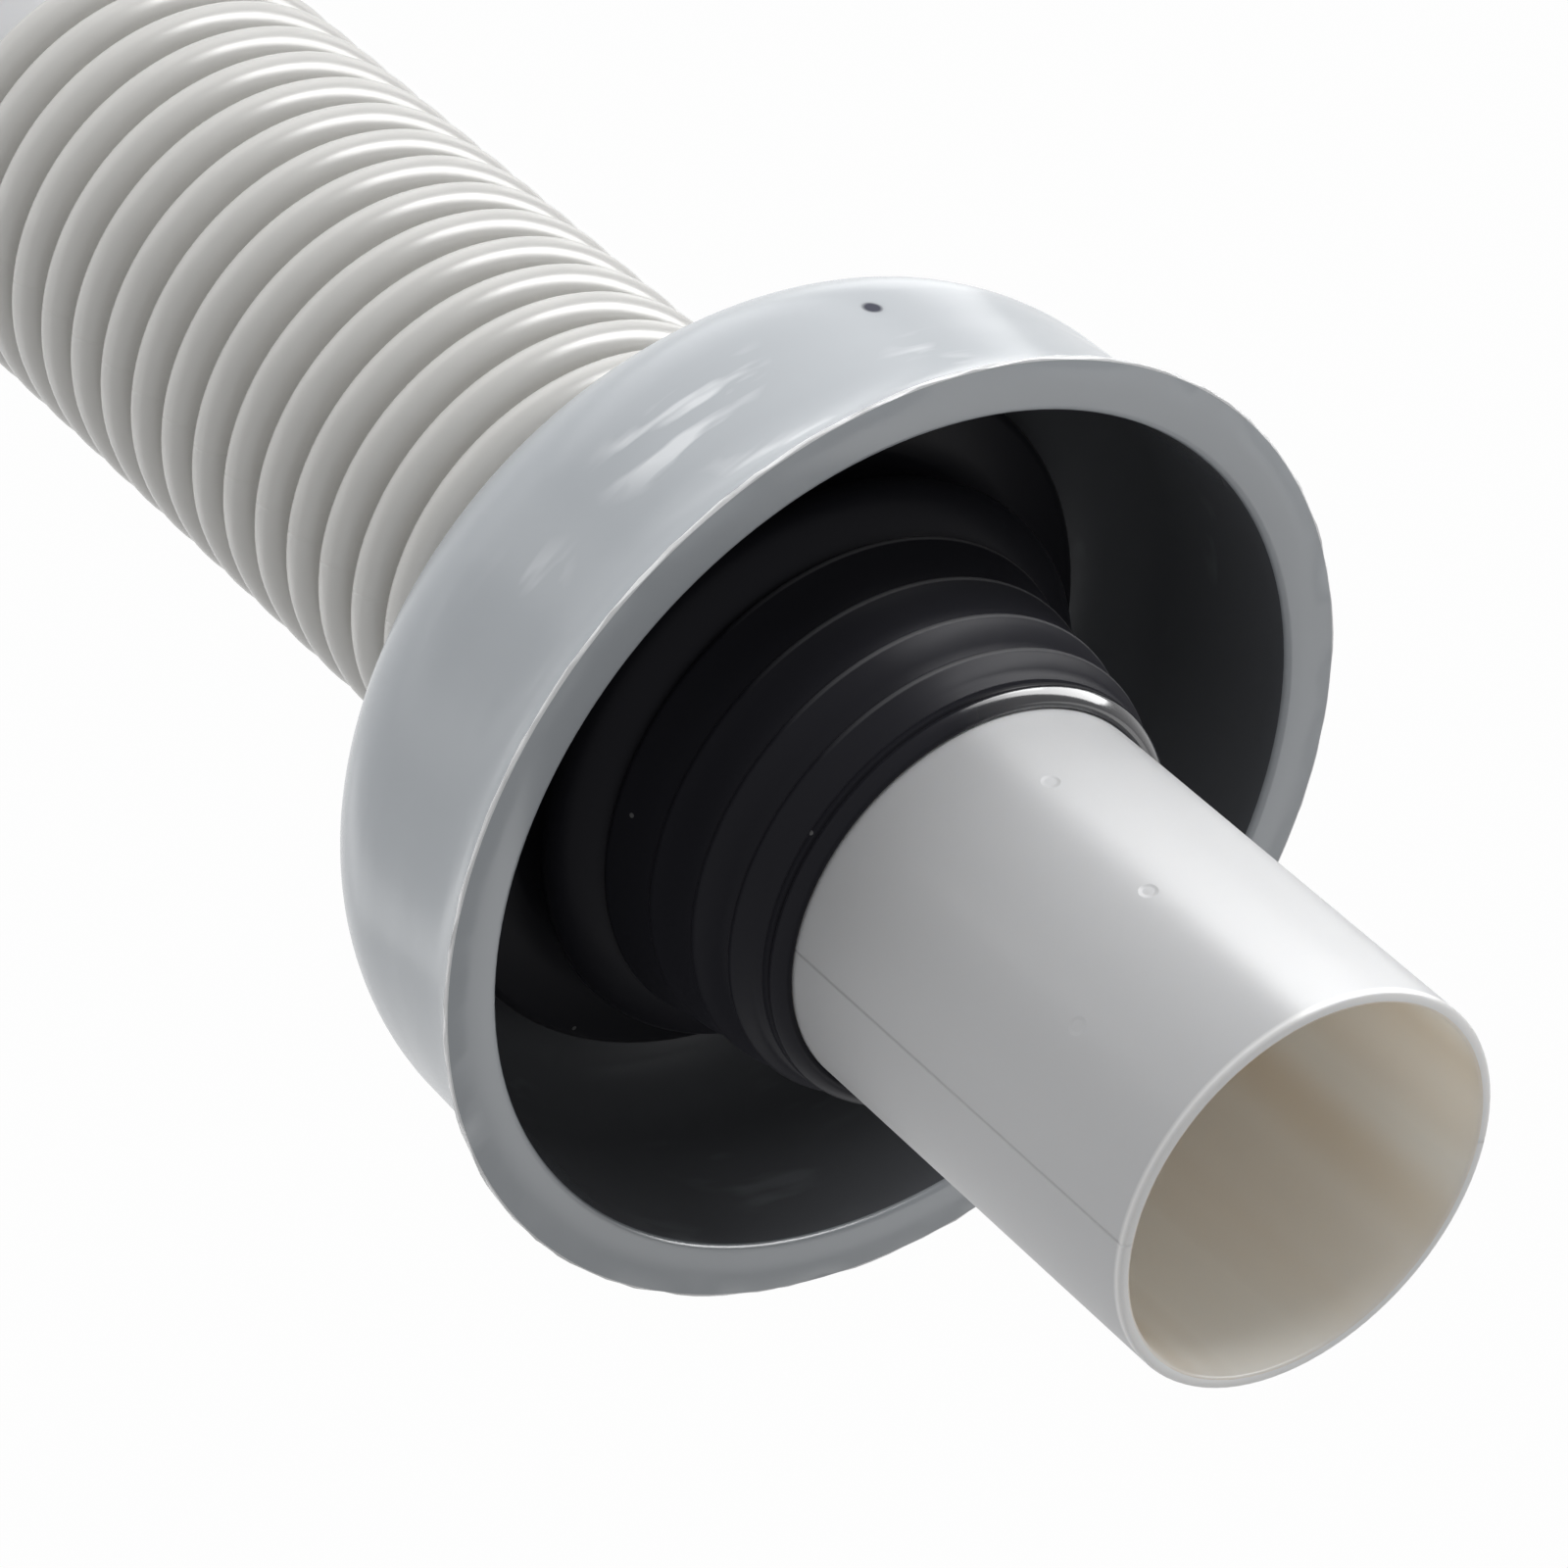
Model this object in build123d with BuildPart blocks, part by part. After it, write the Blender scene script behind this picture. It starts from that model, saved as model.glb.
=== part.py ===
# Flexible waste pipe: a blow-moulded bellows pipe with a plain spigot, a stepped rubber seal pushed
# onto the spigot, and a cover bell that hides the hole in the wall.
# It stands on its plain cuff with the spigot's mouth upwards, all about the Z axis. Millimetres.
import os
from math import cos, pi, sin

from build123d import *

# Blown pipe
spigot_od = 40.0
pipe_wall = 1.2
spigot_length = 92.7  # mouth to the shoulder of the bellows
groove_rise = 1.6  # how far the bottom of a groove stands out from the spigot
ring_height = 2.4
ring_pitch = 5.75
ring_crest = 2.0  # width of a ring's crest
ring_count = 18
neck_length = 1.6  # shoulder to the first ring, and last ring to the cuff
seal_land = 0.3  # depth of the shallow recess that keeps the seal from sliding
seal_land_end = 0.5  # recess left open past the seal's lip
cuff_length = 34.6

# Cover bell
bell_od = 91.4
bell_wall = 2.3
bell_depth = 33.0
bell_corner = 14.5  # outer radius of the rounded back edge
outer_flat_count = 4
inner_flat_count = 2
bell_hole_gap = 0.2
bell_seat_gap = 0.3  # back of the bell to the pipe's shoulder
rim_overhang = 3.4
rim_flare = 3.6

# Rubber seal, its steps measured out from the spigot
seal_grip_gap = 0.1
seal_seat_gap = 0.3
seal_length = 38.4
lip_length = 4.5
lip_thickness = 1.5
sleeve_length = 3.0
sleeve_thickness = 2.3
step_count = 3
step_length = 4.6
step_thickness = 3.4
step_growth = 0.8
cone_height = 3.0
hub_thickness = 9.2
flange_thickness = 5.9
flange_wall_gap = 7.7  # flange's edge to the inside of the barrel

spigot_r = spigot_od / 2
bore_r = spigot_r - pipe_wall
land_r = spigot_r - seal_land
groove_r = spigot_r + groove_rise
bellows_bore_r = groove_r - pipe_wall
shoulder_z = cuff_length + 2 * neck_length + ring_count * ring_pitch
height = shoulder_z + spigot_length

bell_r = bell_od / 2
bell_inner_r = bell_r - bell_wall
bell_back = shoulder_z + bell_seat_gap
bell_front = bell_back + bell_depth
bell_hole_r = spigot_r + bell_hole_gap
corner_r = bell_r - bell_corner
corner_z = bell_back + bell_corner


def rounded_back(radius, flat_count):
    # Quarter circle from the bell's barrel to its back, as a chain of short cones
    angles = [pi / 2 * flat / flat_count for flat in range(flat_count + 1)]
    return [(corner_r + radius * cos(a), corner_z - radius * sin(a)) for a in angles]


outer_corner = rounded_back(bell_corner, outer_flat_count)
inner_corner = rounded_back(bell_corner - bell_wall, inner_flat_count)


def bell_floor(radius):
    # Height of the bell's inner face at a radius
    for (r1, z1), (r2, z2) in zip(inner_corner, inner_corner[1:]):
        if r2 <= radius <= r1:
            return z2 + (z1 - z2) * (radius - r2) / (r1 - r2)
    return bell_back + bell_wall


flange_r = bell_inner_r - flange_wall_gap
seal_bore_r = land_r + seal_grip_gap
seal_base = bell_floor(flange_r) + seal_seat_gap
seal_top = seal_base + seal_length
lip_end = seal_top - lip_length
hub_r = spigot_r + hub_thickness

ring_profile = [
    (bellows_bore_r, -ring_pitch / 2),
    (groove_r, -ring_pitch / 2),
    (groove_r + ring_height, -ring_crest / 2),
    (groove_r + ring_height, ring_crest / 2),
    (groove_r, ring_pitch / 2),
    (bellows_bore_r, ring_pitch / 2),
]
first_ring_z = cuff_length + neck_length + ring_pitch / 2
ring_places = [(0, first_ring_z + ring * ring_pitch) for ring in range(ring_count)]
bottom_left = (Align.MIN, Align.MIN)

with BuildPart() as pipe:
    with BuildSketch(Plane.XZ):
        # Plain tube from the floor to the mouth, widened to the groove's size along the bellows
        with Locations((bore_r, 0)):
            Rectangle(pipe_wall, height, align=bottom_left)
        with Locations((bore_r, cuff_length)):
            Rectangle(groove_r - bore_r, shoulder_z - cuff_length, align=bottom_left)
        with Locations((bore_r, cuff_length + pipe_wall)):
            Rectangle(
                bellows_bore_r - bore_r,
                shoulder_z - cuff_length - 2 * pipe_wall,
                align=bottom_left,
                mode=Mode.SUBTRACT,
            )
        with Locations(*ring_places):
            Polygon(*ring_profile, align=None)
        with Locations((land_r, shoulder_z)):
            Rectangle(
                seal_land,
                seal_top + seal_land_end - shoulder_z,
                align=bottom_left,
                mode=Mode.SUBTRACT,
            )
    revolve(axis=Axis.Z)

# The bell sits on the spigot with its back against the pipe's shoulder
with BuildPart() as bell:
    with BuildSketch(Plane.XZ):
        with BuildLine():
            Polyline(
                (bell_inner_r, bell_front),
                (bell_r + rim_overhang, bell_front),
                (bell_r, bell_front - rim_flare),
                *outer_corner,
                (bell_hole_r, bell_back),
                (bell_hole_r, bell_back + bell_wall),
                *reversed(inner_corner),
                close=True,
            )
        make_face()
    revolve(axis=Axis.Z)

# The seal's flange lies in the bell's rounded back, and its steps narrow towards the mouth
steps = []
for step in range(step_count):
    step_r = spigot_r + step_thickness + step * step_growth
    step_top = lip_end - sleeve_length - step * step_length
    steps.append((step_r, step_top))
    steps.append((step_r, step_top - step_length))
cone_top = lip_end - sleeve_length - step_count * step_length

with BuildPart() as seal:
    with BuildSketch(Plane.XZ):
        with BuildLine():
            Polyline(
                (seal_bore_r, seal_base),
                (seal_bore_r, seal_top),
                (spigot_r + lip_thickness, seal_top),
                (spigot_r + lip_thickness, lip_end),
                (spigot_r + sleeve_thickness, lip_end),
                (spigot_r + sleeve_thickness, lip_end - sleeve_length),
                *steps,
                (hub_r, cone_top - cone_height),
                (hub_r, seal_base + flange_thickness),
                (flange_r, seal_base + flange_thickness),
                (flange_r, seal_base),
                close=True,
            )
        make_face()
    revolve(axis=Axis.Z)

pipe.part.label = "flexible_pipe"
bell.part.label = "cover_bell"
seal.part.label = "rubber_seal"

os.makedirs("parts", exist_ok=True)
export_step(pipe.part, "parts/flexible_pipe.step")
export_step(bell.part, "parts/cover_bell.step")
export_step(seal.part, "parts/rubber_seal.step")
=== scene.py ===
# %% [markdown]
# # A flexible waste pipe
# The real thing has three pieces: a blown plastic pipe, ringed like a bellows at one end and plain at
# the other, a black rubber seal pushed onto the plain end, and a grey cover bell that hides the hole
# in the wall. All three are round about one axis, so almost everything here is lathe work: a circle is
# drawn, extruded and scaled, ring after ring, until it has followed a profile.

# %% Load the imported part
import math

import bpy
from mathutils import Matrix


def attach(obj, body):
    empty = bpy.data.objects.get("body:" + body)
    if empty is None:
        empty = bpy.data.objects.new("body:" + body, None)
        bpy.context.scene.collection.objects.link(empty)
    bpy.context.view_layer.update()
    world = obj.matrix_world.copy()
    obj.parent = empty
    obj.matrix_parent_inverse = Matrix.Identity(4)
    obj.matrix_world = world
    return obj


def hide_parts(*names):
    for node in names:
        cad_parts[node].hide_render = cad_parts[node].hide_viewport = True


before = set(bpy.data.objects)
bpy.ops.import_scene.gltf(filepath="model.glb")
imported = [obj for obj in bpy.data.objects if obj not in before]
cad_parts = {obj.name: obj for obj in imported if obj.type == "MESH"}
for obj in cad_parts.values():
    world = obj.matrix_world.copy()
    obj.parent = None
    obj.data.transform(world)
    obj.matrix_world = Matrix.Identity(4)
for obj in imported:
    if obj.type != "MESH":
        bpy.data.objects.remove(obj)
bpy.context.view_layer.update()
mm = 0.001
MERGE_DISTANCE = 0.004 * mm  # closer vertices are one
print("nodes:", sorted(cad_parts))

# %% [markdown]
# ## A lathe of circles
# A turned piece could be drawn as half a section and swept with Spin. Extruding a circle of loose edges
# does the same with two operators, a move along Z and a scale about the axis, and every row of faces
# stays under our control. The profile is a list of radius and height in millimetres.


# %% The lathe
def deselect_all():
    """Leaves edit mode and selects nothing, so that the next operator acts on its own piece only."""
    if bpy.context.object and bpy.context.object.mode != "OBJECT":
        bpy.ops.object.mode_set(mode="OBJECT")
    bpy.ops.object.select_all(action="DESELECT")


def turn_profile(name, profile, sides, finish):
    """Extrudes one circle along a profile and gives the skin its finish."""
    deselect_all()
    radius, height = profile[0]
    bpy.ops.mesh.primitive_circle_add(
        vertices=sides,
        radius=radius * mm,
        fill_type="NOTHING",
        location=(0, 0, height * mm),
    )
    skin = bpy.context.object
    skin.name = skin.data.name = name
    bpy.ops.object.transform_apply(location=True, rotation=False, scale=False)
    bpy.ops.object.mode_set(mode="EDIT")
    bpy.ops.mesh.select_all(action="SELECT")
    for next_radius, next_height in profile[1:]:
        rise = (next_height - height) * mm
        bpy.ops.mesh.extrude_region_move(
            TRANSFORM_OT_translate={"value": (0, 0, rise)}
        )
        growth = next_radius / radius
        bpy.ops.transform.resize(
            value=(growth, growth, 1), center_override=(0, 0, next_height * mm)
        )
        radius, height = next_radius, next_height
    bpy.ops.object.mode_set(mode="OBJECT")
    skin.data.materials.append(finish)
    return skin


def arc(centre_radius, centre_height, size, start, end, steps):
    """Points of a circular arc in the section. 0 degrees points away from the axis and 90 up."""
    points = []
    for step in range(steps + 1):
        angle = math.radians(start + (end - start) * step / steps)
        points.append(
            (
                centre_radius + size * math.cos(angle),
                centre_height + size * math.sin(angle),
            )
        )
    return points


# %% [markdown]
# ## Sewing skins into one piece
# A piece with several finishes, such as the pipe with its warmer inside, is made of several skins. They
# are joined, then their shared edges are merged, and only then are the normals turned outwards, because
# loose skins have no inside yet.


# %% Sew and smooth
def sew(name, skins, smooth_degrees):
    """Joins skins into one closed mesh with smooth shading."""
    deselect_all()
    for skin in skins:
        skin.select_set(True)
    bpy.context.view_layer.objects.active = skins[0]
    if len(skins) > 1:
        bpy.ops.object.join()
    piece = bpy.context.object
    piece.name = piece.data.name = name
    bpy.ops.object.mode_set(mode="EDIT")
    bpy.ops.mesh.select_all(action="SELECT")
    bpy.ops.mesh.remove_doubles(threshold=MERGE_DISTANCE)
    bpy.ops.mesh.normals_make_consistent(inside=False)
    bpy.ops.mesh.select_all(action="DESELECT")
    bpy.ops.mesh.select_non_manifold()
    bpy.ops.object.mode_set(mode="OBJECT")
    open_edges = sum(edge.select for edge in piece.data.edges)
    bpy.ops.object.shade_smooth_by_angle(angle=math.radians(smooth_degrees))
    print(name, "faces:", len(piece.data.polygons), "open edges:", open_edges)
    return piece


# %% [markdown]
# ## Effects that several finishes share
# Moulding leaves the same traces on every plastic piece: a parting line where the mould's halves met,
# soft waves in the skin, dust, and round marks. Each is a node group with named sockets that puts out
# a mask or a height, and each material then uses it with its own values.


# %% A node group with named sockets
def new_group(name, sockets_in, socket_out):
    """An empty shader node group, its inputs as (name, socket type, value) and one float output."""
    group = bpy.data.node_groups.new(name, "ShaderNodeTree")
    for socket_name, socket_type, value in sockets_in:
        socket = group.interface.new_socket(
            socket_name, in_out="INPUT", socket_type=socket_type
        )
        socket.default_value = value
    group.interface.new_socket(
        socket_out, in_out="OUTPUT", socket_type="NodeSocketFloat"
    )
    return group, group.nodes.new("NodeGroupInput"), group.nodes.new("NodeGroupOutput")


def math_node(tree, operation, *values, clamp=False):
    """A Math node whose inputs are numbers or other nodes' sockets. Returns its output socket."""
    node = tree.nodes.new("ShaderNodeMath")
    node.operation = operation
    node.use_clamp = clamp
    for socket, value in zip(node.inputs, values):
        if isinstance(value, (int, float)):
            socket.default_value = value
        else:
            tree.links.new(value, socket)
    return node.outputs["Value"]


def object_place(tree):
    """The place on the object, in metres, as a socket."""
    return tree.nodes.new("ShaderNodeTexCoord").outputs["Object"]


# %% Parting line of a two-part mould
FLOAT, VECTOR = "NodeSocketFloat", "NodeSocketVector"

parting_line, given, out = new_group(
    "Parting line", [("Turn", FLOAT, 0.0), ("Half Width", FLOAT, 0.0003)], "Line"
)
split = parting_line.nodes.new("ShaderNodeSeparateXYZ")
parting_line.links.new(object_place(parting_line), split.inputs[0])
across_x = math_node(
    parting_line,
    "MULTIPLY",
    split.outputs["X"],
    math_node(parting_line, "SINE", given.outputs["Turn"]),
)
across_y = math_node(
    parting_line,
    "MULTIPLY",
    split.outputs["Y"],
    math_node(parting_line, "COSINE", given.outputs["Turn"]),
)
off_plane = math_node(
    parting_line, "ABSOLUTE", math_node(parting_line, "SUBTRACT", across_x, across_y)
)
share = math_node(parting_line, "DIVIDE", off_plane, given.outputs["Half Width"])
line = math_node(parting_line, "SUBTRACT", 1.0, share, clamp=True)
parting_line.links.new(line, out.inputs["Line"])
print("group:", parting_line.name)

# %% Waves in a moulded skin
moulding_waves, given, out = new_group(
    "Moulding waves",
    [("Across", FLOAT, 60.0), ("Along", FLOAT, 60.0), ("Detail", FLOAT, 1.0)],
    "Height",
)
stretch = moulding_waves.nodes.new("ShaderNodeCombineXYZ")
moulding_waves.links.new(given.outputs["Across"], stretch.inputs["X"])
moulding_waves.links.new(given.outputs["Across"], stretch.inputs["Y"])
moulding_waves.links.new(given.outputs["Along"], stretch.inputs["Z"])
scaled = moulding_waves.nodes.new("ShaderNodeVectorMath")
scaled.operation = "MULTIPLY"
moulding_waves.links.new(object_place(moulding_waves), scaled.inputs[0])
moulding_waves.links.new(stretch.outputs["Vector"], scaled.inputs[1])
noise = moulding_waves.nodes.new("ShaderNodeTexNoise")
noise.inputs["Scale"].default_value = 1.0
moulding_waves.links.new(given.outputs["Detail"], noise.inputs["Detail"])
moulding_waves.links.new(scaled.outputs["Vector"], noise.inputs["Vector"])
moulding_waves.links.new(noise.outputs["Fac"], out.inputs["Height"])
print("group:", moulding_waves.name)

# %% Dust specks
dust, given, out = new_group(
    "Dust",
    [("Per Metre", FLOAT, 600.0), ("Amount", FLOAT, 0.1), ("Size", FLOAT, 0.12)],
    "Specks",
)
cells = dust.nodes.new("ShaderNodeTexVoronoi")
dust.links.new(object_place(dust), cells.inputs["Vector"])
dust.links.new(given.outputs["Per Metre"], cells.inputs["Scale"])
cell_value = dust.nodes.new("ShaderNodeSeparateColor")
dust.links.new(cells.outputs["Color"], cell_value.inputs["Color"])
chosen = math_node(
    dust, "LESS_THAN", cell_value.outputs["Red"], given.outputs["Amount"]
)
near_centre = math_node(
    dust, "LESS_THAN", cells.outputs["Distance"], given.outputs["Size"]
)
dust.links.new(math_node(dust, "MULTIPLY", chosen, near_centre), out.inputs["Specks"])
print("group:", dust.name)

# %% Strokes for painted highlights, gathered in a few places
strokes, given, out = new_group(
    "Painted highlight strokes",
    [("Across", FLOAT, 40.0), ("Along", FLOAT, 300.0), ("Limit", FLOAT, 0.6)],
    "Strokes",
)


def thresholded_waves(across, along, detail, limit, steepness):
    """A wave pattern cut off below a limit, inside the strokes group."""
    waves = strokes.nodes.new("ShaderNodeGroup")
    waves.node_tree = moulding_waves
    for name, value in (("Across", across), ("Along", along), ("Detail", detail)):
        if isinstance(value, (int, float)):
            waves.inputs[name].default_value = value
        else:
            strokes.links.new(value, waves.inputs[name])
    above = math_node(strokes, "SUBTRACT", waves.outputs["Height"], limit)
    return math_node(strokes, "MULTIPLY", above, steepness, clamp=True)


lines = thresholded_waves(
    given.outputs["Across"],
    given.outputs["Along"],
    2.0,
    given.outputs["Limit"],
    9.0,
)
places = thresholded_waves(55.0, 75.0, 0.0, 0.5, 7.0)
strokes.links.new(math_node(strokes, "MULTIPLY", lines, places), out.inputs["Strokes"])
print("group:", strokes.name)

# %% Round mark
round_mark, given, out = new_group(
    "Round mark", [("Centre", VECTOR, (0, 0, 0)), ("Radius", FLOAT, 0.001)], "Mark"
)
distance = round_mark.nodes.new("ShaderNodeVectorMath")
distance.operation = "DISTANCE"
round_mark.links.new(object_place(round_mark), distance.inputs[0])
round_mark.links.new(given.outputs["Centre"], distance.inputs[1])
share = math_node(
    round_mark, "DIVIDE", distance.outputs["Value"], given.outputs["Radius"]
)
falloff = math_node(round_mark, "SUBTRACT", 1.0, share, clamp=True)
steeper = math_node(round_mark, "MULTIPLY", falloff, 2.5)
flat_topped = math_node(round_mark, "SMOOTH_MIN", steeper, 1.0, 0.2)
round_mark.links.new(flat_topped, out.inputs["Mark"])
print("group:", round_mark.name)

# %% Band between two heights
height_band, given, out = new_group(
    "Height band",
    [("Low", FLOAT, 0.0), ("High", FLOAT, 0.1), ("Soft", FLOAT, 0.0005)],
    "Band",
)
split = height_band.nodes.new("ShaderNodeSeparateXYZ")
height_band.links.new(object_place(height_band), split.inputs[0])
above = math_node(
    height_band,
    "DIVIDE",
    math_node(height_band, "SUBTRACT", split.outputs["Z"], given.outputs["Low"]),
    given.outputs["Soft"],
    clamp=True,
)
below = math_node(
    height_band,
    "DIVIDE",
    math_node(height_band, "SUBTRACT", given.outputs["High"], split.outputs["Z"]),
    given.outputs["Soft"],
    clamp=True,
)
height_band.links.new(
    math_node(height_band, "MULTIPLY", above, below), out.inputs["Band"]
)
print("group:", height_band.name)

# %% [markdown]
# ## Finishes
# Colours are written as they look on screen, 0 to 255, and turned into the linear values that Blender
# works with. A finish starts as one plain shader, and the shared effects are then mixed into its
# colour or pressed into its surface.


# %% Helpers for finishes
def screen_colour(red, green, blue):
    """A colour given as screen values, as Blender's linear colour with alpha."""
    linear = [
        c / 12.92 if c <= 0.04045 else ((c + 0.055) / 1.055) ** 2.4
        for c in (red / 255, green / 255, blue / 255)
    ]
    return (*linear, 1.0)


def new_finish(name, colour, roughness):
    """A material with one shader. Returns the material, its tree and the shader."""
    finish = bpy.data.materials.new(name)
    finish.use_nodes = True
    shader = finish.node_tree.nodes["Principled BSDF"]
    shader.inputs["Base Color"].default_value = screen_colour(*colour)
    shader.inputs["Roughness"].default_value = roughness
    return finish, finish.node_tree, shader


def use_group(tree, group, **values):
    """Places a shared group in a finish, with its inputs set. Returns its output socket."""
    node = tree.nodes.new("ShaderNodeGroup")
    node.node_tree = group
    for name, value in values.items():
        node.inputs[name.replace("_", " ")].default_value = value
    return node.outputs[0]


def tint(tree, shader, mask, colour):
    """Mixes a colour into the shader's base colour where the mask is 1."""
    mix = tree.nodes.new("ShaderNodeMix")
    mix.data_type = "RGBA"
    base = shader.inputs["Base Color"]
    if base.is_linked:
        tree.links.new(base.links[0].from_socket, mix.inputs["A"])
    else:
        mix.inputs["A"].default_value = base.default_value
    mix.inputs["B"].default_value = screen_colour(*colour)
    tree.links.new(mask, mix.inputs["Factor"])
    tree.links.new(mix.outputs["Result"], base)


def press(tree, shader, height, depth_mm):
    """Presses a height into the surface with a Bump node, on top of what is there already."""
    bump = tree.nodes.new("ShaderNodeBump")
    bump.inputs["Distance"].default_value = depth_mm * mm
    bump.inputs["Strength"].default_value = 1.0
    normal = shader.inputs["Normal"]
    if normal.is_linked:
        tree.links.new(normal.links[0].from_socket, bump.inputs["Normal"])
    tree.links.new(height, bump.inputs["Height"])
    tree.links.new(bump.outputs["Normal"], normal)


def on_axis_circle(radius_mm, degrees, height_mm):
    """A point on a round piece, in metres, from its radius, its turn about Z and its height."""
    turn = math.radians(degrees)
    return (
        radius_mm * mm * math.cos(turn),
        radius_mm * mm * math.sin(turn),
        height_mm * mm,
    )


# %% Blown plastic of the rings and the spigot
SEAM_DEGREES = -47.2
SPIGOT_RADIUS, BORE_RADIUS = 20.0, 18.8
MOUTH = 234.0


def let_light_through(shader, share, depth_mm):
    """Lets some light wander through the thin wall, as in milky plastic."""
    shader.inputs["Subsurface Weight"].default_value = share
    shader.inputs["Subsurface Radius"].default_value = (1.0, 0.95, 0.88)
    shader.inputs["Subsurface Scale"].default_value = depth_mm * mm


def blown_finish(name, colour, roughness, seam_mm):
    """The pipe's outer skin: shiny, a little wavy, with the raised line where the mould parted."""
    finish, tree, shader = new_finish(name, colour, roughness)
    shader.inputs["Specular IOR Level"].default_value = 1.0
    seam = use_group(
        tree, parting_line, Turn=math.radians(SEAM_DEGREES), Half_Width=0.22 * mm
    )
    press(tree, shader, seam, seam_mm)
    waves = use_group(tree, moulding_waves, Across=70.0, Along=22.0, Detail=1.0)
    press(tree, shader, waves, 0.12)
    return finish, tree, shader, seam


blown_rings, _, shader, _ = blown_finish(
    "blown_plastic_rings", (203, 202, 199), 0.27, 0.03
)
shader.inputs["Specular IOR Level"].default_value = 0.5

blown_spigot, tree, shader, seam = blown_finish(
    "blown_plastic_spigot", (203, 204, 206), 0.36, 0.08
)
let_light_through(shader, 0.5, 2.0)
shader.inputs["Anisotropic"].default_value = 0.9
shader.inputs["Anisotropic Rotation"].default_value = 0.25
tint(tree, shader, math_node(tree, "MULTIPLY", seam, 0.4), (112, 113, 114))
SPIGOT_MARKS = [(-127.5, 196.0), (-121.4, 213.0), (-83.7, 219.0)]  # turn and height
for degrees, height_mm in SPIGOT_MARKS:
    mark = use_group(
        tree,
        round_mark,
        Centre=on_axis_circle(SPIGOT_RADIUS, degrees, height_mm),
        Radius=0.9 * mm,
    )
    press(tree, shader, mark, -0.05)
mouth_edge = use_group(
    tree, height_band, Low=(MOUTH - 0.8) * mm, High=(MOUTH + 2) * mm, Soft=0.4 * mm
)
tint(tree, shader, math_node(tree, "MULTIPLY", mouth_edge, 0.85), (252, 252, 251))
print("finishes:", blown_rings.name, blown_spigot.name)

# %% [markdown]
# Light comes through the milky wall from outside, so it may wander deeper here than in the outer skin.
# The streaks along the inside are flow lines: the moulding waves, stretched along the axis and cut off
# a little below their middle.

# %% Milky inside of the pipe, lightened with painted light
# Painted light: the inside is much lighter than the outer skin, the plastic's warm milky tone raised to
# stand in for light through the wall.
blown_inside_lightened, tree, shader = new_finish("blown_plastic_inside_lightened", (252, 240, 226), 0.42)
let_light_through(shader, 0.9, 4.5)
press(
    tree,
    shader,
    use_group(tree, moulding_waves, Across=90.0, Along=14.0, Detail=1.0),
    0.15,
)
flow_lines = use_group(tree, moulding_waves, Across=110.0, Along=5.0, Detail=1.0)
flow_lines = math_node(tree, "SUBTRACT", flow_lines, 0.45)
flow_lines = math_node(tree, "MULTIPLY", flow_lines, 2.5, clamp=True)
tint(tree, shader, math_node(tree, "MULTIPLY", flow_lines, 0.9), (212, 199, 182))
print("finish:", blown_inside_lightened.name)

# %% [markdown]
# The bell is glossier outside than in its cup. The cup's darker grey is painted shade on a bell that is
# one grey plastic. The pale strokes on the upper side are painted highlights, lamps mirrored in the wavy
# skin, and there is one dot of ink. The rim's edge is paler: moulding flash with a painted highlight along
# it.

# %% Grey plastic of the bell's outside
BELL_RADIUS = 45.7
BELL_ROUGHNESS, INK_ROUGHNESS = 0.22, 0.72

bell_outside, tree, shader = new_finish(
    "bell_plastic_outside", (181, 186, 191), BELL_ROUGHNESS
)
shader.inputs["Specular IOR Level"].default_value = 0.4
press(
    tree,
    shader,
    use_group(tree, moulding_waves, Across=28.0, Along=190.0, Detail=1.5),
    0.10,
)
press(
    tree,
    shader,
    use_group(tree, moulding_waves, Across=45.0, Along=45.0, Detail=0.0),
    0.35,
)
# Painted highlights: pale strokes on the upper side behind the rim stand in for lamps mirrored in the wavy
# skin.
painted_highlight_strokes = use_group(tree, strokes, Across=95.0, Along=420.0, Limit=0.51)
behind_rim = use_group(
    tree, height_band, Low=156.0 * mm, High=173.5 * mm, Soft=3.0 * mm
)
highlight_side = use_group(
    tree,
    round_mark,
    Centre=on_axis_circle(BELL_RADIUS, -118.0, 165.0),
    Radius=45.0 * mm,
)
for limit in (highlight_side, behind_rim, 0.8):
    painted_highlight_strokes = math_node(tree, "MULTIPLY", painted_highlight_strokes, limit)
tint(tree, shader, painted_highlight_strokes, (236, 239, 242))
ink_dot = use_group(
    tree,
    round_mark,
    Centre=on_axis_circle(BELL_RADIUS - 0.1, -137.4, 157.3),
    Radius=1.15 * mm,
)
tint(tree, shader, ink_dot, (16, 20, 44))
rougher = INK_ROUGHNESS - BELL_ROUGHNESS
tree.links.new(
    math_node(tree, "MULTIPLY_ADD", ink_dot, rougher, BELL_ROUGHNESS),
    shader.inputs["Roughness"],
)
print("finish:", bell_outside.name)

# %% Bell's cup in painted shade, and its pale edge
# Painted shade: the cup gets a darker grey than the outside, though the bell is one plastic.
bell_cup_painted_shade, tree, shader = new_finish("bell_plastic_cup_painted_shade", (106, 108, 112), 0.27)
press(
    tree,
    shader,
    use_group(tree, moulding_waves, Across=30.0, Along=60.0, Detail=1.0),
    0.12,
)
# Painted highlights: faint pale strokes in the cup.
cup_painted_highlights = use_group(tree, strokes, Across=80.0, Along=300.0, Limit=0.54)
tint(tree, shader, math_node(tree, "MULTIPLY", cup_painted_highlights, 0.3), (150, 153, 158))
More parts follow.
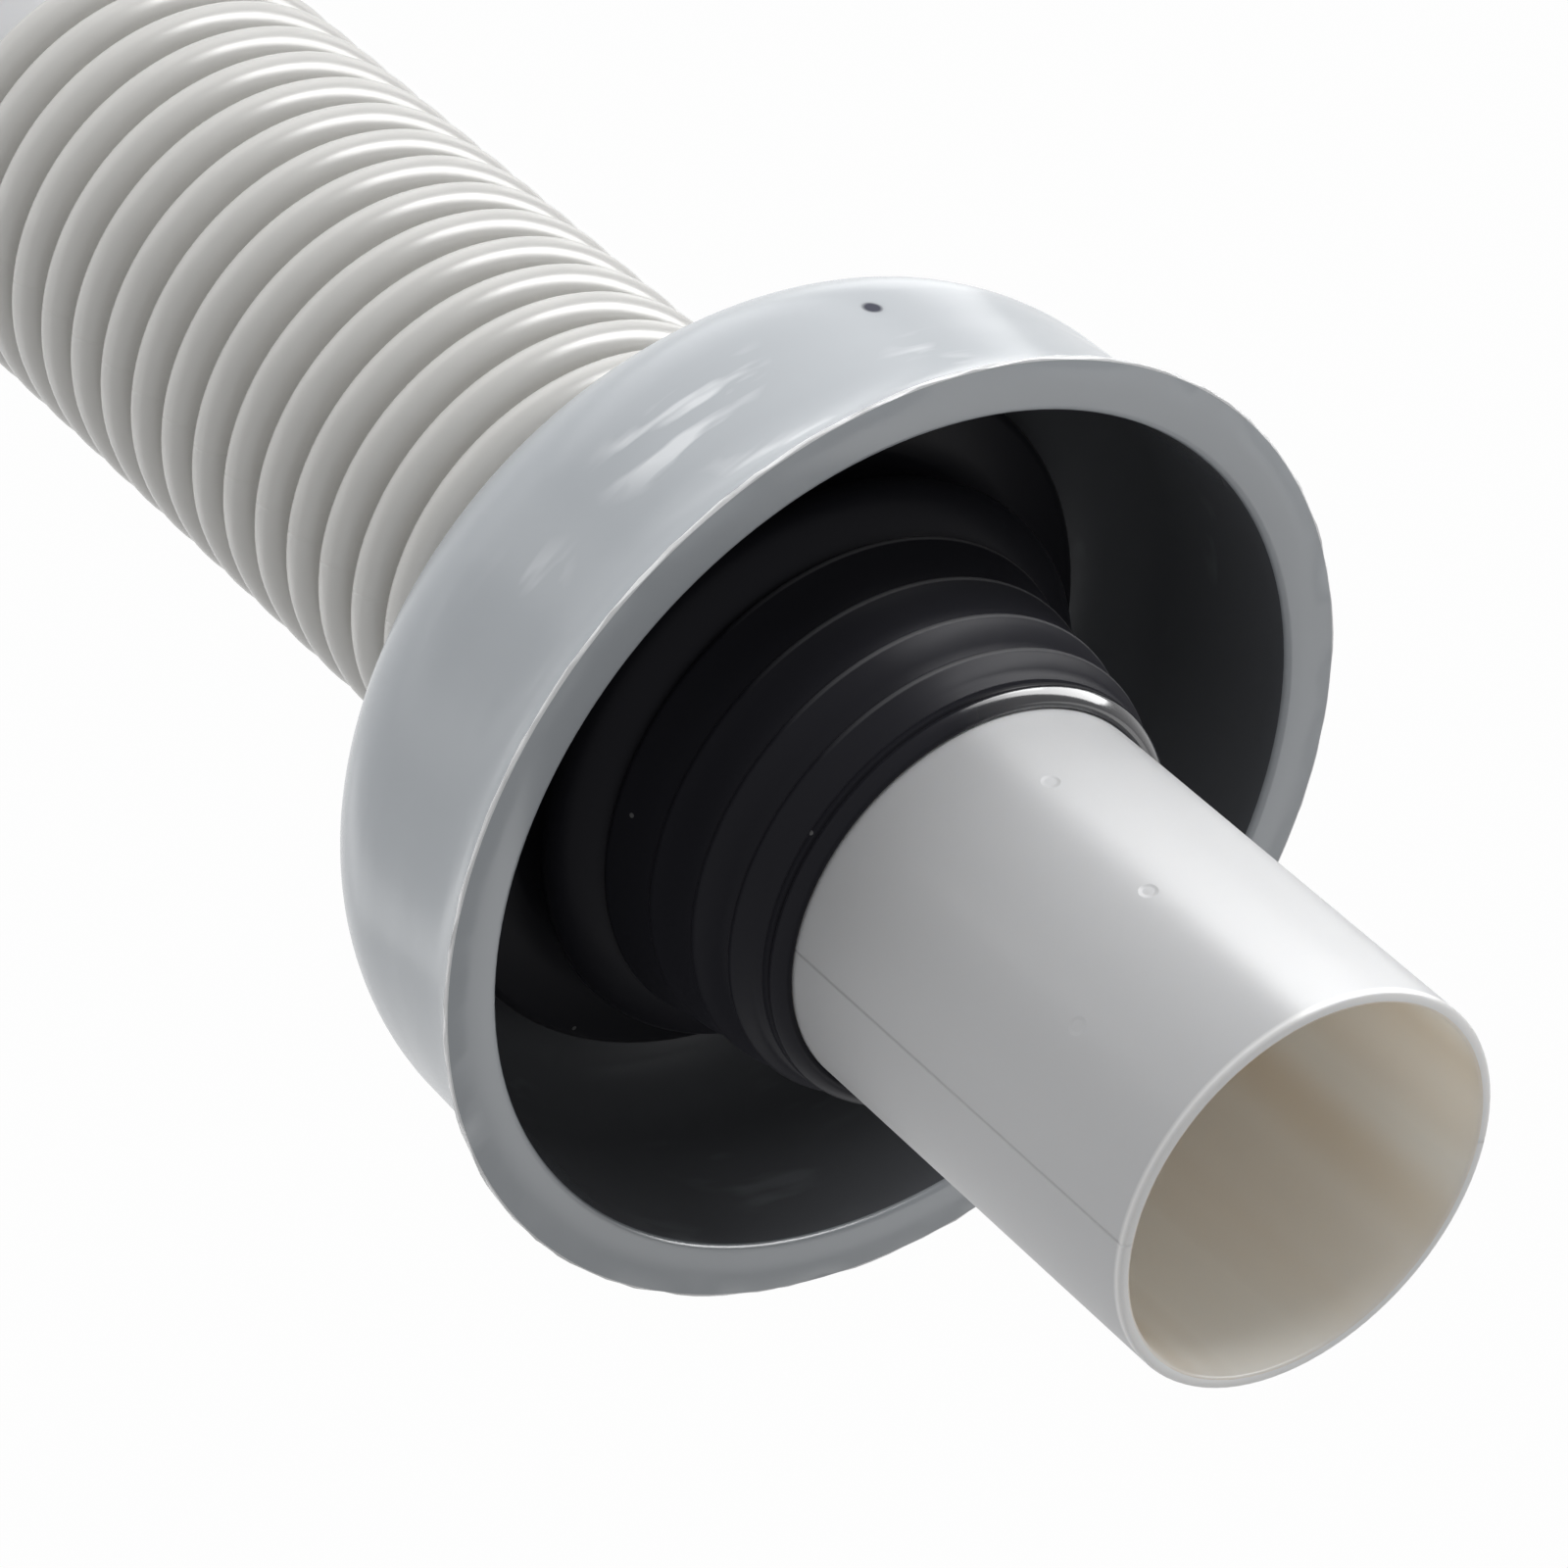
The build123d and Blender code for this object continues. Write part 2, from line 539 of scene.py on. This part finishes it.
# The rim's outer edge is near white: pale moulding flash, with a painted highlight along the edge.
bell_flash_and_highlight_edge = new_finish("bell_plastic_flash_and_highlight_edge", (250, 251, 252), 0.3)[0]
print("finishes:", bell_cup_painted_shade.name, bell_flash_and_highlight_edge.name)

# %% [markdown]
# The rubber is dull and black. On the upper side the fins' edges are painted a lighter grey as highlights,
# and the lip has a wet shine there, which is a clear coat with a lower roughness.

# %% Black rubber of the seal
FIN_HEIGHTS = (164.6, 170.3, 176.0, 180.7)  # crests of the four fins
RUBBER_ROUGHNESS, WET_ROUGHNESS = 0.34, 0.14

seal_rubber, tree, shader = new_finish("seal_rubber", (41, 41, 46), RUBBER_ROUGHNESS)
shader.inputs["Specular IOR Level"].default_value = 0.05
# Painted highlights: the fins' edges are lighter grey on the lit upper side.
painted_edge_highlights = 0.0
for height in FIN_HEIGHTS:
    edge = use_group(
        tree,
        height_band,
        Low=(height - 0.3) * mm,
        High=(height + 0.25) * mm,
        Soft=0.12 * mm,
    )
    painted_edge_highlights = math_node(tree, "MAXIMUM", edge, painted_edge_highlights)
edge_highlight_side = use_group(
    tree, round_mark, Centre=on_axis_circle(24.0, -155.0, 174.0), Radius=26.0 * mm
)
painted_edge_highlights = math_node(tree, "MULTIPLY", painted_edge_highlights, edge_highlight_side)
tint(tree, shader, math_node(tree, "MULTIPLY", painted_edge_highlights, 0.55), (128, 128, 130))
specks = use_group(tree, dust, Per_Metre=420.0, Amount=0.05, Size=0.1)
tint(tree, shader, math_node(tree, "MULTIPLY", specks, 0.5), (150, 150, 150))
lip = use_group(tree, height_band, Low=184.1 * mm, High=190.0 * mm, Soft=0.4 * mm)
smear = use_group(
    tree, round_mark, Centre=on_axis_circle(21.0, -165.0, 185.5), Radius=16.0 * mm
)
wet = math_node(tree, "MULTIPLY", lip, smear)
smoother = WET_ROUGHNESS - RUBBER_ROUGHNESS
tree.links.new(
    math_node(tree, "MULTIPLY_ADD", wet, smoother, RUBBER_ROUGHNESS),
    shader.inputs["Roughness"],
)
tree.links.new(wet, shader.inputs["Coat Weight"])
shader.inputs["Coat Roughness"].default_value = 0.12
press(
    tree,
    shader,
    use_group(tree, moulding_waves, Across=130.0, Along=130.0, Detail=2.0),
    0.06,
)
print("finish:", seal_rubber.name)

# %% [markdown]
# ## The blown pipe
# A heated tube of plastic is blown against a mould, so hose and spigot are one thin wall, and the inside
# follows the rings of the outside. One ring is turned, outside and inside, and an Array modifier repeats
# it, which is how the mould was cut as well: one tool, eighteen times.

# %% One ring's section
RING_PITCH = 5.75
RING_COUNT = 18
FIRST_RING_FOOT = 36.2  # height where the lowest ring starts
CREST_RADIUS = 24.0
CREST_ROUND = 2.15  # radius of the rounded crest
GROOVE_ROUND = RING_PITCH / 2 - CREST_ROUND
GROOVE_BOTTOM = 20.75
RING_WALL = 1.0
PIPE_SIDES = 96


def ring_section(offset):
    """One pitch of the ring from groove to groove, its surface moved inwards by the offset."""
    foot, top = FIRST_RING_FOOT, FIRST_RING_FOOT + RING_PITCH
    groove_size, crest_size = GROOVE_ROUND + offset, CREST_ROUND - offset
    groove_centre = GROOVE_BOTTOM + GROOVE_ROUND
    crest_centre = CREST_RADIUS - CREST_ROUND
    return [
        *arc(groove_centre, foot, groove_size, 180, 90, 4),
        *arc(crest_centre, foot + RING_PITCH / 2, crest_size, -90, 90, 11),
        *arc(groove_centre, top, groove_size, 270, 180, 4),
    ]


print("ring section points:", len(ring_section(0)))


# %% Turn the ring and repeat it
def repeat_rings(skin):
    """Repeats one ring along the axis with an Array modifier and applies it."""
    deselect_all()
    skin.select_set(True)
    bpy.context.view_layer.objects.active = skin
    array = skin.modifiers.new("rings", "ARRAY")
    array.count = RING_COUNT
    array.use_relative_offset = False
    array.use_constant_offset = True
    array.constant_offset_displace = (0, 0, RING_PITCH * mm)
    array.use_merge_vertices = True
    array.merge_threshold = MERGE_DISTANCE
    bpy.ops.object.modifier_apply(modifier=array.name)
    return skin


rings_outside = repeat_rings(
    turn_profile("rings_outside", ring_section(0), PIPE_SIDES, blown_rings)
)
rings_inside = repeat_rings(
    turn_profile("rings_inside", ring_section(RING_WALL), PIPE_SIDES, blown_inside_lightened)
)
print("rings:", RING_COUNT, "faces outside:", len(rings_outside.data.polygons))

# %% [markdown]
# The plain ends carry on from the first and the last groove. The mouth is cut square, with only the
# slight rounding that a trimmed edge has, and the shoulder carries the bell.

# %% Cuff, shoulder and spigot
LAST_RING_TOP = FIRST_RING_FOOT + RING_COUNT * RING_PITCH
GROOVE_INSIDE = GROOVE_BOTTOM - RING_WALL
SHOULDER = 141.3
LAND_RADIUS, LAND_TOP = 19.7, 184.96  # shallow recess under the seal
MOUTH_ROUND, BORE_ROUND = 0.3, 0.25

cuff_outside = [
    (BORE_RADIUS + 0.2, 0.0),
    (SPIGOT_RADIUS - 0.2, 0.0),
    (SPIGOT_RADIUS, 0.2),
    (SPIGOT_RADIUS, 34.5),
    (20.1, 35.1),
    (20.4, 35.7),
    (GROOVE_BOTTOM, FIRST_RING_FOOT),
]
spigot_outside = [
    (GROOVE_BOTTOM, LAST_RING_TOP),
    (21.25, 139.95),
    (21.6, 140.5),
    (21.6, 141.15),
    (21.45, SHOULDER),
    (LAND_RADIUS, SHOULDER),
    (LAND_RADIUS, LAND_TOP - 0.16),
    (SPIGOT_RADIUS, LAND_TOP),
    *arc(SPIGOT_RADIUS - MOUTH_ROUND, MOUTH - MOUTH_ROUND, MOUTH_ROUND, 0, 90, 2),
    (BORE_RADIUS + BORE_ROUND, MOUTH),
]
spigot_inside = [
    *arc(BORE_RADIUS + BORE_ROUND, MOUTH - BORE_ROUND, BORE_ROUND, 90, 180, 2),
    (BORE_RADIUS, 142.0),
    (19.1, 140.9),
    (19.6, 140.1),
    (GROOVE_INSIDE, LAST_RING_TOP),
]
cuff_inside = [
    (GROOVE_INSIDE, FIRST_RING_FOOT),
    (19.5, 35.7),
    (19.1, 34.9),
    (BORE_RADIUS, 33.8),
    (BORE_RADIUS, 0.2),
    (BORE_RADIUS + 0.2, 0.0),
]
pipe = sew(
    "flexible_pipe_blown",
    [
        turn_profile("cuff_outside", cuff_outside, PIPE_SIDES, blown_spigot),
        rings_outside,
        turn_profile("spigot_outside", spigot_outside, PIPE_SIDES, blown_spigot),
        turn_profile("spigot_inside", spigot_inside, PIPE_SIDES, blown_inside_lightened),
        rings_inside,
        turn_profile("cuff_inside", cuff_inside, PIPE_SIDES, blown_inside_lightened),
    ],
    50,
)
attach(pipe, "root")
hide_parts("flexible_pipe")

# %% [markdown]
# ## The cover bell
# The bell is a moulded cup: a flat back with the pipe's hole, a generous round corner, a barrel with a
# little draft so that it leaves the mould, and a flared rim with a flat face that meets the wall. The
# outer skin runs from the hole to the rim, a narrow skin makes the rim's pale edge, the next is the flat
# face, and the inner skin goes back down to the hole.

# %% Bell's four skins
BELL_SIDES = 160
BELL_BACK = 141.6
BELL_FRONT = 174.6
BELL_HOLE = 20.2
BELL_WALL = 2.3
CORNER_CENTRE = (31.2, 156.1)
CORNER_ROUND = 14.5

bell_outer_profile = [
    (BELL_HOLE, BELL_BACK + 0.25),
    (BELL_HOLE + 0.25, BELL_BACK),
    (25.0, BELL_BACK),
    *arc(*CORNER_CENTRE, CORNER_ROUND, -90, -4, 20),
    (45.72, 157.6),
    (45.84, 162.0),
    (45.96, 166.5),
    (46.08, 168.6),
    (46.35, 170.1),
    (46.85, 171.5),
    (47.6, 172.8),
    (48.3, 173.65),
    (48.72, 173.98),
]
rim_edge_profile = [
    (48.72, 173.98),
    (48.94, 174.2),
    (48.98, 174.36),
    (48.9, 174.54),
    (48.76, BELL_FRONT),
]
rim_face_profile = [
    (48.76, BELL_FRONT),
    (46.5, BELL_FRONT),
    (44.25, BELL_FRONT),
    (43.9, 174.5),
    (43.68, 174.28),
    (43.6, 174.0),
]
bell_inner_profile = [
    (43.6, 174.0),
    (43.55, 172.0),
    (43.45, 166.0),
    (43.4, 156.8),
    *arc(*CORNER_CENTRE, CORNER_ROUND - BELL_WALL, -2, -90, 16),
    (25.0, BELL_BACK + BELL_WALL),
    (BELL_HOLE, BELL_BACK + BELL_WALL),
    (BELL_HOLE, BELL_BACK + 0.25),
]
bell = sew(
    "cover_bell_moulded",
    [
        turn_profile("bell_outer_skin", bell_outer_profile, BELL_SIDES, bell_outside),
        turn_profile("rim_edge", rim_edge_profile, BELL_SIDES, bell_flash_and_highlight_edge),
        turn_profile("rim_face", rim_face_profile, BELL_SIDES, bell_outside),
        turn_profile("bell_inner_skin", bell_inner_profile, BELL_SIDES, bell_cup_painted_shade),
    ],
    40,
)

# %% [markdown]
# The rim's outer edge is a little ragged where the two halves of the mould met. Its vertices are picked by
# their place and moved a tenth of a millimetre at random, with a fixed seed so that each run is the same.

# %% Ragged edge of the rim
RAGGED_BEYOND = 48.85  # radius past which the edge is uneven

deselect_all()
bell.select_set(True)
bpy.context.view_layer.objects.active = bell
for vertex in bell.data.vertices:
    radius = math.hypot(vertex.co.x, vertex.co.y)
    vertex.select = radius > RAGGED_BEYOND * mm
print("rim vertices picked:", sum(vertex.select for vertex in bell.data.vertices))
bpy.ops.object.mode_set(mode="EDIT")
bpy.ops.mesh.select_mode(type="VERT")
bpy.ops.transform.vertex_random(offset=0.1 * mm, uniform=1.0, normal=0.0, seed=7)
bpy.ops.object.mode_set(mode="OBJECT")
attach(bell, "root")
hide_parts("cover_bell")

# %% [markdown]
# ## The rubber seal
# The seal is a stepped cone: a thick flange in the back of the bell, a round shoulder, four fins that grow
# towards the back, and a thin glossy lip that grips the spigot. A fin is a rounded edge with an
# undercut behind it, and a hollow cone leads on to the next one. The four come from one function.

# %% Seal's section
SEAL_SIDES = 128
SEAL_BORE = 19.8
SEAL_BASE = 146.06
SEAL_TOP = 186.0
FLANGE_RADIUS, FLANGE_ROUND = 35.7, 0.5


def fin(crest, height, front_radius, front):
    """One sealing fin: an undercut back, a rounded edge, then a hollow cone to the next fin."""
    cone_radius, cone_foot = crest - 0.22, height + 0.38
    return [
        (crest - 0.75, height - 0.75),
        (crest - 0.35, height - 0.6),
        (crest - 0.08, height - 0.35),
        (crest, height - 0.1),
        (crest - 0.07, height + 0.14),
        (cone_radius, cone_foot),
        ((cone_radius * 2 + front_radius) / 3 - 0.1, (cone_foot * 2 + front) / 3),
        ((cone_radius + front_radius * 2) / 3 - 0.1, (cone_foot + front * 2) / 3),
        (front_radius, front),
    ]


seal_profile = [
    (SEAL_BORE, SEAL_BASE),
    *arc(FLANGE_RADIUS - FLANGE_ROUND, SEAL_BASE + FLANGE_ROUND, FLANGE_ROUND, -90, 0, 2),
    (FLANGE_RADIUS, 151.2),
    (35.6, 151.6),
    (35.3, 151.9),
    (34.8, 152.0),
    (30.5, 152.25),
    (28.2, 152.6),
    (27.3, 153.3),
    (27.1, 154.6),
    (27.4, 156.3),
    (28.2, 157.9),
    (28.85, 159.0),
    (29.15, 159.9),
    (29.05, 160.7),
    (28.6, 161.4),
    (27.8, 162.1),
    (26.8, 162.8),
    (25.8, 163.35),
    (24.95, 163.7),
    *fin(25.6, FIN_HEIGHTS[0], 23.95, 169.4),
    *fin(24.6, FIN_HEIGHTS[1], 23.35, 175.1),
    *fin(24.0, FIN_HEIGHTS[2], 22.55, 179.8),
    *fin(23.2, FIN_HEIGHTS[3], 21.95, 183.2),
    (21.7, 183.45),
    (21.66, 183.6),
    (21.8, 183.75),
    (21.84, 184.0),
    (21.78, 184.3),
    (21.5, 184.45),
    (21.5, 184.6),
    (21.74, 184.7),
    (21.82, 184.92),
    (21.74, 185.16),
    (20.95, 185.9),
    (20.7, SEAL_TOP),
    (20.3, SEAL_TOP),
    (20.05, 185.8),
    (20.05, 184.8),
    (SEAL_BORE, 184.4),
    (SEAL_BORE, SEAL_BASE),
]
seal = sew(
    "rubber_seal_moulded",
    [turn_profile("seal_skin", seal_profile, SEAL_SIDES, seal_rubber)],
    48,
)
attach(seal, "root")
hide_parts("rubber_seal")

# %% [markdown]
# ## Floor and light
# The part stands on a white floor. A camera ray sees the floor mostly as plain white and a little of it as
# lit paint, so that the shadow stays. Even white light comes from all round, less of it from above, and a
# large soft box at the side is the main lamp. A small one fills the mouth.


# %% White floor
def background_rays(tree):
    """1 on the rays that show the background: seen directly, in gloss or through glass."""
    path = tree.nodes.new("ShaderNodeLightPath")
    seen = path.outputs["Is Camera Ray"]
    for ray in ("Is Glossy Ray", "Is Transmission Ray"):
        seen = math_node(tree, "MAXIMUM", seen, path.outputs[ray])
    return seen


def white_for_camera(tree, lit_shader, white_share):
    """Mixes a plain white glow over a shader for the rays that show the background."""
    glow = tree.nodes.new("ShaderNodeEmission")
    mix = tree.nodes.new("ShaderNodeMixShader")
    share = math_node(tree, "MULTIPLY", background_rays(tree), white_share)
    tree.links.new(share, mix.inputs["Fac"])
    tree.links.new(lit_shader.outputs[0], mix.inputs[1])
    tree.links.new(glow.outputs["Emission"], mix.inputs[2])
    return mix.outputs["Shader"]


deselect_all()
bpy.ops.mesh.primitive_plane_add(size=6.0, location=(0, 0, 0))
floor = bpy.context.object
floor.name = "floor"
floor_paint, tree, shader = new_finish("floor_paint", (236, 236, 236), 0.9)
WHITE_SHARE = 0.98
tree.links.new(
    white_for_camera(tree, shader, WHITE_SHARE),
    tree.nodes["Material Output"].inputs["Surface"],
)
floor.data.materials.append(floor_paint)
print("floor:", floor.name)

# %% Even light all round
world = bpy.data.worlds.new("white_room")
bpy.context.scene.world = world
world.use_nodes = True
tree = world.node_tree
sky = tree.nodes["Background"]
sky.inputs["Color"].default_value = (1, 1, 1, 1)
ROOM_LIGHT, CEILING_LOSS = 0.53, 0.4
way = tree.nodes.new("ShaderNodeTexCoord").outputs["Generated"]
split = tree.nodes.new("ShaderNodeSeparateXYZ")
tree.links.new(way, split.inputs[0])
upward = math_node(tree, "MAXIMUM", split.outputs["Z"], 0.0)
room = math_node(tree, "MULTIPLY_ADD", upward, -CEILING_LOSS, ROOM_LIGHT)
seen = background_rays(tree)
unseen = math_node(tree, "SUBTRACT", 1.0, seen)
tree.links.new(
    math_node(tree, "MULTIPLY_ADD", room, unseen, seen), sky.inputs["Strength"]
)
print("room light:", ROOM_LIGHT)


# %% Soft boxes
def soft_box(name, place, turn, size, watts):
    """A rectangular area lamp, given its place, its turn and its two sides in metres."""
    deselect_all()
    bpy.ops.object.light_add(type="AREA", location=place, rotation=turn)
    lamp = bpy.context.object
    lamp.name = name
    lamp.data.shape = "RECTANGLE"
    lamp.data.size, lamp.data.size_y = size
    lamp.data.energy = watts
    lamp.visible_camera = False
    print(name, "at", [round(v, 2) for v in lamp.location])
    return lamp


def standing_box(name, degrees, reach, height, tilt, size, watts):
    """A box that faces the part from the side. A tilt of 90 degrees stands it upright."""
    turn = math.radians(degrees)
    place = (reach * math.cos(turn), reach * math.sin(turn), height)
    facing = (math.radians(tilt), 0, turn + math.pi / 2)
    return soft_box(name, place, facing, size, watts)


standing_box("key_box", -165, 1.0, 0.26, 90, (0.8, 0.3), 4.6)
fill_box = standing_box("fill_box", -25, 0.56, 0.42, 70, (0.3, 0.2), 0.24)
fill_box.visible_glossy = False

# %% [markdown]
# Two cards show only in gloss. The one at the side draws the broad highlight along the satin spigot, and
# the one above lifts the rim's flat face.

# %% Cards that show only in gloss
side_card = standing_box("side_card", 177, 0.5, 0.28, 90, (0.67, 0.26), 6.4)
top_card = soft_box(
    "top_card", (-0.046, 0.228, 0.375), (0, 0, math.radians(15)), (0.2, 0.2), 0.17
)
for card in (side_card, top_card):
    card.visible_diffuse = False

# %% [markdown]
# The long highlights on the spigot, the rings and the bell come from flat boxes that lie on the floor and
# shine upwards. A standing tube mirrors the floor to a camera that looks down on it, so that is where
# such lights have to be. The gaps between them leave the soft dark streaks along the spigot. The table's
# glow is the light that a white table throws back, and gloss doesn't show it.


# %% Boxes on the floor
FLOOR_LIFT = 3.0 * mm


def floor_box(name, degrees, reach, size, watts):
    """A flat box on the floor, its long side pointing away from the part."""
    turn = math.radians(degrees)
    place = (reach * math.cos(turn), reach * math.sin(turn), FLOOR_LIFT)
    return soft_box(name, place, (math.pi, 0, turn), size, watts)


floor_box("bright_floor_box", -162, 0.25, (0.36, 0.28), 0.36)
table_glow = floor_box("table_glow", 0, 0.0, (0.9, 0.9), 1.0)
table_glow.visible_glossy = False
floor_box("weak_floor_box", -20, 0.25, (0.34, 0.2), 0.17)
floor_box("streak_floor_box", -86, 0.25, (0.36, 0.06), 0.06)

# %% [markdown]
# ## Camera
# The camera stands where the photograph was taken: it looks into the bell from the mouth's side and is
# rolled, so that the pipe runs across the picture. Place and turn come from the ellipses of the mouth and
# the rim.

# %% Camera
bpy.ops.object.camera_add(location=(0, 0, 0))
camera = bpy.context.object
camera.name = "camera"
camera.matrix_world = Matrix(
    (
        (-0.658106, -0.752910, -0.004894, 0.0),
        (0.494479, -0.427296, -0.756907, -0.52333),
        (0.567792, -0.500545, 0.653504, 0.61132),
        (0, 0, 0, 1),
    )
)
camera.data.sensor_width = 36.0
camera.data.lens = 173.496
camera.data.clip_start = 0.01
bpy.context.scene.camera = camera
bpy.context.scene.view_settings.view_transform = "Standard"
print("camera:", [round(v, 4) for v in camera.location])
